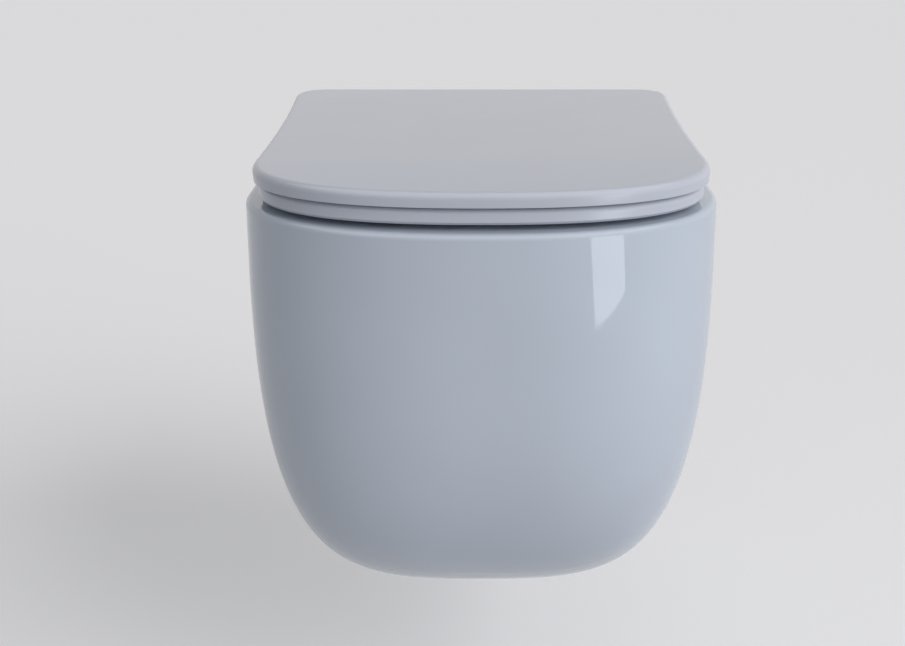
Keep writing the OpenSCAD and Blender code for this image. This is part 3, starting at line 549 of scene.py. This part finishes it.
room, lugs, bores = [], [], []
for side in (-1, 1):
    length = LID_LUG_X - SEAT_LUG_X + LUG_GAP
    room.append(barrel("lug_room", side, SEAT_LUG_R + LUG_GAP, SEAT_LUG_X - LUG_GAP, length))
    x0, x1 = side * (HINGE_X - BRACKET_W / 2 - 2 * LUG_GAP), side * LID_LUG_X
    s0, s1 = LID_REAR - BRACKET_ROOM, AXIS_S - BRACKET_ROOM
    room.append(block("bracket_room", x0, x1, s0, s1, AXIS_Z - BRACKET_ROOM, LID_TOP + BRACKET_ROOM))
    lugs.append(barrel("lid_lug", side, LID_LUG_R, LID_LUG_X, LUG_W))
    bores.append(barrel("lid_bore", side, CARTRIDGE_R, LID_LUG_X - PAST, LUG_W - 2 * PAST))
combine(cover, "DIFFERENCE", room)
combine(cover, "UNION", lugs)
combine(cover, "DIFFERENCE", bores)
soften(cover)
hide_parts("lid")
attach(cover, "cover")
print("lid faces", len(cover.data.polygons))

# %% [markdown]
# ## The seat ring
# The ring is pressed from the same plastic. Its cross-section is a flat bar with soft upper edges, so it is
# built as a closed hoop: one small section at every station, each turned to face from the outer outline to
# the opening.

# %% The ring's outlines
outer = closed(inset(cover_outline(RING_REAR - RING_INSET, RING_CORNER), RING_INSET), 0)
far = LID_FRONT - RING_INSET - RING_FRONT_W
mid = SEAT_OPEN_REAR + SEAT_OPEN_WIDEST * (far - SEAT_OPEN_REAR)
rear = heel(SEAT_OPEN_HALF, mid, mid - SEAT_OPEN_REAR, SEAT_REAR_POWER, EDGE_N + CORNER_N + SIDE_N)
inner = closed(np.vstack([rear, nose(SEAT_OPEN_HALF, mid, far - mid, SEAT_FRONT_POWER)]), 0)
across = (inner - outer) / np.linalg.norm(inner - outer, axis=1)[:, None]
print("stations", len(outer))

# %% The ring's section
up = np.array([0, 0, 1])
low, low_side = up * RING_UNDER, up * (RING_UNDER + RING_LOWER_EDGE)
section = [outer + across * RING_LOWER_EDGE + low, outer + low_side]
section += [outer + across * moved + up * (RING_TOP - down) for moved, down in rounds(RING_OUTER_R, arc)]
section += [inner - across * moved + up * (RING_TOP - down)
    for moved, down in rounds(RING_INNER_R, arc[::-1])]
section += [inner + low_side, inner - across * RING_LOWER_EDGE + low]
ring = mesh_object("seat_ring_cover", np.vstack(section), bands(len(section), len(outer), wrap=True))
print("points in a section", len(section))

# %% The ring's hinge lugs
lugs, bores = [], []
for side in (-1, 1):
    lugs.append(barrel("seat_lug", side, SEAT_LUG_R, SEAT_LUG_X, LUG_W))
    x0, x1 = side * SEAT_LUG_X, side * (SEAT_LUG_X + LUG_W)
    lugs.append(block("seat_arm", x0, x1, ARM_S0, ARM_S1, RING_UNDER, RING_TOP - PAST))
    bores.append(barrel("seat_bore", side, CARTRIDGE_R, SEAT_LUG_X + SEAT_BORE_END, LUG_W))
    for s in (LID_WIDEST - PAD_BEHIND, LID_WIDEST + PAD_AHEAD):
        start = (side * PAD_X, -s, RING_UNDER - PAST)
        bores.append(rod("pad_hole", start, (0, 0, 1), PAD_STEM_R, PAD_STEM_L, ROUND_N // 3))
combine(ring, "UNION", lugs)
combine(ring, "DIFFERENCE", bores)
soften(ring)
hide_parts("seat_ring")
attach(ring, "seat")
print("ring faces", len(ring.data.polygons))

# %% [markdown]
# ## Colours and nodes
# Colours are written as the sRGB hex that a picture editor shows, and one function turns them into the
# linear values that the renderer adds up. One small helper adds a node, sets it and links it, so that each
# recipe reads as a list.

# %% Colour and node helpers
def linear(code):
    """Linear RGBA from an sRGB hex code."""
    v = [int(code[i:i + 2], 16) / 255 for i in (1, 3, 5)]
    return [c / 12.92 if c <= 0.04045 else ((c + 0.055) / 1.055) ** 2.4 for c in v] + [1]


def add(tree, kind, sockets=None, **settings):
    """Adds one node. sockets maps an input to a value, or to the output that feeds it."""
    n = tree.nodes.new(kind)
    for key, value in settings.items():
        setattr(n, key, value)
    for key, value in (sockets or {}).items():
        if isinstance(value, bpy.types.NodeSocket):
            tree.links.new(value, n.inputs[key])
        else:
            n.inputs[key].default_value = value
    return n


def finish(name, code, roughness, metallic=0, **more):
    """A material with one Principled shader, its constants on the shader's own sockets."""
    m = bpy.data.materials.new(name)
    m.use_nodes = True
    shader = m.node_tree.nodes["Principled BSDF"]
    constants = {"Base Color": linear(code), "Roughness": roughness, "Metallic": metallic, **more}
    for key, value in constants.items():
        shader.inputs[key].default_value = value
    return m, m.node_tree, shader


print("white card", [round(c, 3) for c in linear("#f2f2f2")])

# %% Noise, and what it drives
# Noise at scale 1 has blobs of about 0.7 m, and its values seldom leave the band from 0.3 to 0.7
NOISE_BLOB, NOISE_LOW, NOISE_HIGH = 0.7, 0.3, 0.7


def grain(tree, size, detail=2, stretch=(1, 1, 1)):
    """Noise whose blobs are about size metres across, in the object's own space."""
    place = add(tree, "ShaderNodeTexCoord").outputs["Object"]
    place = add(tree, "ShaderNodeMapping", {"Vector": place, "Scale": stretch}).outputs["Vector"]
    sockets = {"Vector": place, "Scale": NOISE_BLOB / size, "Detail": detail}
    return add(tree, "ShaderNodeTexNoise", sockets).outputs["Fac"]


def between(tree, fac, low, high):
    """Turns noise into a value from low to high."""
    sockets = {"Value": fac, "From Min": NOISE_LOW, "From Max": NOISE_HIGH, "To Min": low, "To Max": high}
    return add(tree, "ShaderNodeMapRange", sockets).outputs["Result"]


def bump(tree, fac, height):
    """A bump of a real height in metres."""
    return add(tree, "ShaderNodeBump", {"Height": fac, "Distance": height, "Strength": 1.0}).outputs["Normal"]


def mixed(tree, fac, a, b):
    """A colour that goes from a to b with a factor. Each is a colour, or the output that feeds it."""
    return add(tree, "ShaderNodeMix", {"Factor": fac, "A": a, "B": b}, data_type="RGBA").outputs["Result"]


def shades(tree, fac, low, high):
    """A colour that drifts between two hex codes with noise."""
    return mixed(tree, between(tree, fac, 0, 1), linear(low), linear(high))


print("noise with blobs of 1 mm has the scale", round(NOISE_BLOB / MM))

# %% A finished material goes into its slot
MADE = {}


def keep(slot, m, shader, colour, rough, normal=None):
    """Links what drifts over the surface to its shader, and keeps the material for a slot."""
    for key, value in (("Base Color", colour), ("Roughness", rough), ("Normal", normal)):
        if value is not None:
            m.node_tree.links.new(value, shader.inputs[key])
    MADE[slot] = m
    print(m.name, "for", slot)


# %% [markdown]
# ## Glazed vitreous china
# The bowl is dense white clay under a sprayed glaze, fired together. The glaze melts to real glass: a
# mirror-smooth skin with an index near 1.52 that flows a little before it sets, so reflections waver over a
# couple of centimetres. The glaze is wiped off where the casting is set against the wall, and the bare clay
# there is dull and slightly warm. The codes hold the glaze as the photograph shows it, in cool light, and
# not as neutral white.

# %% The glaze and the bare edge
GLAZE_ROUGH, CLAY_ROUGH = (0.035, 0.06), 0.75
GLAZE_END, CLAY_START = -1.2 * MM, -0.5 * MM
m, tree, shader = finish("vitreous_china_glaze", "#c6ced8", 0.045, IOR=1.52)
glaze = shades(tree, grain(tree, 70 * MM, 1), "#c4ccd6", "#c8d0da")
clay = shades(tree, grain(tree, 1.5 * MM, 3), "#d9d2c4", "#e6dfd2")
place = add(tree, "ShaderNodeTexCoord").outputs["Object"]
from_wall = add(tree, "ShaderNodeSeparateXYZ", {"Vector": place}).outputs["Y"]
sockets = {"Value": from_wall, "From Min": GLAZE_END, "From Max": CLAY_START}
bare = add(tree, "ShaderNodeMapRange", sockets).outputs["Result"]
waver = between(tree, grain(tree, 25 * MM, 2), *GLAZE_ROUGH)
sockets = {"Value": bare, "To Min": waver, "To Max": CLAY_ROUGH}
rough = add(tree, "ShaderNodeMapRange", sockets).outputs["Result"]
normal = bump(tree, grain(tree, 22 * MM, 1), 0.03 * MM)
keep("glazed_china", m, shader, mixed(tree, bare, glaze, clay), rough, normal)

# %% [markdown]
# ## Seat plastics
# The lid and the ring are urea thermoset, pressed in a polished steel mould: hard, opaque and satin-gloss,
# and never as mirror-like as the glaze beside it. Its surface copies the mould, with a faint ripple over a
# centimetre or so. The side caps are injection-moulded in a glossier plastic of nearly the same shade.

# %% Thermoset and cap
SEAT_IOR = 1.5
m, tree, shader = finish("pressed_urea_thermoset", "#c6cad3", 0.24, IOR=SEAT_IOR)
colour = shades(tree, grain(tree, 45 * MM, 2), "#c5c9d2", "#c7cbd4")
rough = between(tree, grain(tree, 30 * MM, 1), 0.23, 0.25)
keep("seat_plastic", m, shader, colour, rough, bump(tree, grain(tree, 14 * MM, 1), 0.008 * MM))
m, tree, shader = finish("moulded_cap_abs", "#c7ced7", 0.12, IOR=SEAT_IOR)
colour = shades(tree, grain(tree, 15 * MM, 1), "#c5ccd5", "#c9d0d9")
keep("cap_plastic", m, shader, colour, between(tree, grain(tree, 6 * MM, 2), 0.1, 0.16))

# %% [markdown]
# ## Metals
# Each metal keeps the default index and takes its look from its colour and from how it was worked. Turned
# stainless carries fine rings round its axis, zinc plate is a grainy grey, and the brackets are die castings
# with satin chrome.

# %% A metal with worked grain
def metal(slot, name, low, high, rough, size, stretch=(1, 1, 1), height=0.004 * MM):
    """A metal whose colour drifts between two hex codes, with grain of a real size."""
    m, tree, shader = finish(name, low, rough[0], metallic=1)
    worked = grain(tree, size, 4, stretch)
    colour = shades(tree, worked, low, high)
    keep(slot, m, shader, colour, between(tree, worked, *rough), bump(tree, worked, height))


metal("steel", "turned_stainless_steel", "#b4b6b8", "#c9cbcd", (0.22, 0.36), 0.5 * MM, (4, 1, 4))
metal("zinc_block", "zinc_plated_casting", "#8f9396", "#a9adb0", (0.38, 0.55), 1.2 * MM, height=0.02 * MM)
metal("hinge_metal", "satin_chromed_zinc", "#c4c7ca", "#d3d6d8", (0.2, 0.28), 0.8 * MM, (1, 6, 6))
metal("spring_steel", "bright_spring_wire", "#a6a8aa", "#bcbec0", (0.18, 0.28), 0.3 * MM)
metal("brass", "turned_brass", "#b08d45", "#c8a55c", (0.25, 0.4), 0.4 * MM, (1, 1, 5))

# %% [markdown]
# ## Small mouldings and rubber
# Acetal, nylon and the damper bodies are injection moulded with a finely eroded surface, so they shine
# softly. Elastomer pads are duller still, with a dusty bloom of a millimetre or so. The tint drifts over a
# wider patch.

# %% A moulded plastic or rubber
TINT_TO_TEXTURE = 12


def moulded(slot, name, low, high, rough, size, height):
    """A plastic or rubber whose colour drifts between two hex codes, with texture of a real size."""
    m, tree, shader = finish(name, low, rough[0])
    skin = grain(tree, size, 4)
    colour = shades(tree, grain(tree, size * TINT_TO_TEXTURE, 2), low, high)
    keep(slot, m, shader, colour, between(tree, skin, *rough), bump(tree, skin, height))


moulded("button_plastic", "moulded_acetal", "#5d6368", "#687076", (0.34, 0.44), 0.5 * MM, 0.008 * MM)
moulded("damper_plastic", "moulded_damper_body", "#43484c", "#4e5357", (0.4, 0.52), 0.6 * MM, 0.01 * MM)
moulded("nylon", "natural_nylon", "#d3d1c8", "#deddd5", (0.36, 0.48), 0.8 * MM, 0.01 * MM)
moulded("seal_rubber", "soft_grey_elastomer", "#8b9095", "#9aa0a4", (0.55, 0.72), 1 * MM, 0.02 * MM)

# %% Every piece takes its slot's finish
dressed = [(frame["nodes"][part["node"]], part["material_slot"]) for part in frame["record"]["subparts"]]
for piece, slot in dressed + [(china, "glazed_china"), (cover, "seat_plastic"), (ring, "seat_plastic")]:
    piece.data.materials.clear()
    piece.data.materials.append(MADE[slot])
print("finishes", len(MADE), "for", len(dressed), "nodes")

# %% [markdown]
# ## The stage
# The floor lies as far under the rim as in the photograph. The camera and the glaze see a paler floor than
# the one that throws light back, so the picture is pale and the object isn't lit from below more than in a
# room.

# %% The floor
def seen_rays(tree):
    """1 for rays from the camera, a mirror or clear matter, and 0 for rays that only carry light."""
    path = add(tree, "ShaderNodeLightPath").outputs
    seen = path["Is Camera Ray"]
    for other in ("Is Glossy Ray", "Is Transmission Ray"):
        seen = add(tree, "ShaderNodeMath", {0: seen, 1: path[other]}, operation="MAXIMUM").outputs[0]
    return seen


RIM_OVER_FLOOR, FLOOR_SIZE, FLOOR_GLOW = 493 * MM, 60, 0.2
bpy.ops.mesh.primitive_plane_add(size=FLOOR_SIZE, location=(0, 0, RIM_Z - RIM_OVER_FLOOR))
floor = bpy.context.object
floor.name = "studio_floor"
matt = {"Emission Color": linear("#f4f2f0"), "Specular IOR Level": 0}
m, tree, shader = finish("pale_floor", "#f1efed", 0.8, **matt)
seen = seen_rays(tree)
tree.links.new(mixed(tree, seen, linear("#c9c9ca"), linear("#f4f2f0")), shader.inputs["Base Color"])
glow = add(tree, "ShaderNodeMath", {0: seen, 1: FLOOR_GLOW}, operation="MULTIPLY").outputs[0]
tree.links.new(glow, shader.inputs["Emission Strength"])
floor.data.materials.append(m)
print("floor", round(RIM_OVER_FLOOR / MM), "mm under the rim")

# %% [markdown]
# ## The camera
# Its height, tilt and lens come from a fit to the outlines of lid, gap and bowl. A small sideways shift
# frames the toilet a little right of the middle, as in the photograph.

# %% The camera
IMAGE_W, FOCAL_PX, RIGHT_PX = 905, 1395.6, 28.8
SENSOR_W, CAMERA_AWAY, CAMERA_OVER_RIM, CAMERA_TILT = 36, 1451.5 * MM, 241.6 * MM, 18.31
lens = bpy.data.cameras.new("photo_camera")
lens.sensor_width = SENSOR_W
lens.lens = FOCAL_PX / IMAGE_W * SENSOR_W
lens.shift_x = -RIGHT_PX / IMAGE_W
camera = bpy.data.objects.new("photo_camera", lens)
camera.location = (0, -CAMERA_AWAY, RIM_Z + CAMERA_OVER_RIM)
camera.rotation_euler = (math.radians(90 - CAMERA_TILT), 0, 0)
bpy.context.scene.collection.objects.link(camera)
bpy.context.scene.camera = camera
print("lens", round(lens.lens, 1), "mm")

# %% [markdown]
# ## Light
# A pale room lights everything softly, and a wide high sun from the right does most of the rest, because it
# falls evenly on the floor near and far. One tall window, low on the right, puts the upright highlight on
# the glaze, and a panel on the ceiling draws the pale line along the rounded edges of lid and rim. These
# two only make highlights. The window stands so near the floor that its light would burn out a patch there,
# so a fill brings that light from higher up. The sun makes no mirror image, because it would burn out on the
# lid seen against the light. No lamp shows in the picture.

# %% The world
AMBIENT, BACKDROP = 0.4, 1.0
world = bpy.data.worlds.new("pale_room")
bpy.context.scene.world = world
world.use_nodes = True
tree = world.node_tree
tree.nodes.clear()
light = add(tree, "ShaderNodeBackground", {"Color": linear("#edf0f6"), "Strength": AMBIENT})
backdrop = add(tree, "ShaderNodeBackground", {"Color": linear("#e9e7e6"), "Strength": BACKDROP})
sockets = {"Fac": seen_rays(tree), 1: light.outputs[0], 2: backdrop.outputs[0]}
both = add(tree, "ShaderNodeMixShader", sockets)
add(tree, "ShaderNodeOutputWorld", {"Surface": both.outputs[0]})
print("room light", AMBIENT, "backdrop", BACKDROP)

# %% The lamps, with places and sizes in metres
SUN_WIDTH = math.radians(50)
WINDOW_TINT = "#f4f8ff"


def lamp(name, kind, at, aim, strength, code, unseen, size=None):
    """A soft lamp at one point, aimed at another, hidden from the camera and from the unseen rays."""
    data = bpy.data.lights.new(name, kind)
    data.energy, data.color = strength, linear(code)[:3]
    if size:
        data.shape, data.size, data.size_y = "RECTANGLE", *size
    else:
        data.angle = SUN_WIDTH
    piece = bpy.data.objects.new(name, data)
    piece.location = at
    piece.rotation_euler = (Vector(aim) - Vector(at)).to_track_quat("-Z", "Y").to_euler()
    piece.visible_camera = False
    setattr(piece, "visible_" + unseen, False)
    bpy.context.scene.collection.objects.link(piece)
    print(name, kind, "strength", strength, "unseen by", unseen, "rays")


lamp("high_sun", "SUN", at=(2.25, -1.5, 1.6), aim=(0, 0, 0), strength=1.5, code="#fbfbff", unseen="glossy")
lamp("tall_window", "AREA", at=(1.185, -1.682, -0.02), aim=(1.303, -0.687, -0.02), strength=5.5,
    code=WINDOW_TINT, unseen="diffuse", size=(0.72, 0.77))
lamp("window_fill", "AREA", at=(1.3, -1.9, 0.35), aim=(0, -0.4, -0.05), strength=5,
    code=WINDOW_TINT, unseen="glossy", size=(0.8, 0.8))
lamp("ceiling_panel", "AREA", at=(0, -1.2, 1.6), aim=(0, -1.2, 0), strength=45,
    code="#ffffff", unseen="diffuse", size=(4, 2.6))
bpy.context.scene.view_settings.view_transform = "Standard"
